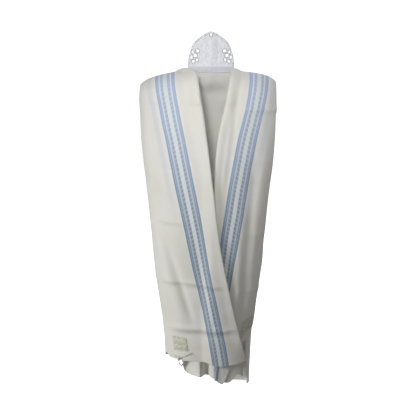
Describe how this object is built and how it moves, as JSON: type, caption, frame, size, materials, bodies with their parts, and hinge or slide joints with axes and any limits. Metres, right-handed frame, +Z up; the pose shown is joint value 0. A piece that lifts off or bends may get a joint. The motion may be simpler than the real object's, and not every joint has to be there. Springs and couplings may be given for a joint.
{
  "type": "tallit prayer shawl",
  "caption": "Striped wool prayer shawl in its worn, hollow shape: doubled fronts crossing, a lace neckband standing at the back of the neck, and knotted fringe cords at the corners.",
  "frame": {"origin": "middle of where the wearer's shoulders carry the cloth, at the height where they start to turn down", "axes": "+Z up, -Y towards the front where the two fronts cross, +X to the right as seen from the front"},
  "size_m": [0.4354, 0.2661, 1.217],
  "materials": {
    "cloth": "soft matt wool twill, cream, with pale blue woven stripe groups",
    "lace": "white corded lace with a slight sheen",
    "patch": "cream ribbed corner patch",
    "cord": "twisted cream wool cord"
  },
  "bodies": {
    "root": {"back": "cloth", "side_left": "cloth", "side_right": "cloth", "front_left": "cloth", "front_right": "cloth", "atarah": "lace", "patch_left_lower": "patch", "patch_left_upper": "patch", "patch_right_lower": "patch", "patch_right_upper": "patch", "tzitzit_left_lower": "cord", "tzitzit_left_upper": "cord", "tzitzit_right_lower": "cord", "tzitzit_right_upper": "cord"}
  },
  "joints": []
}
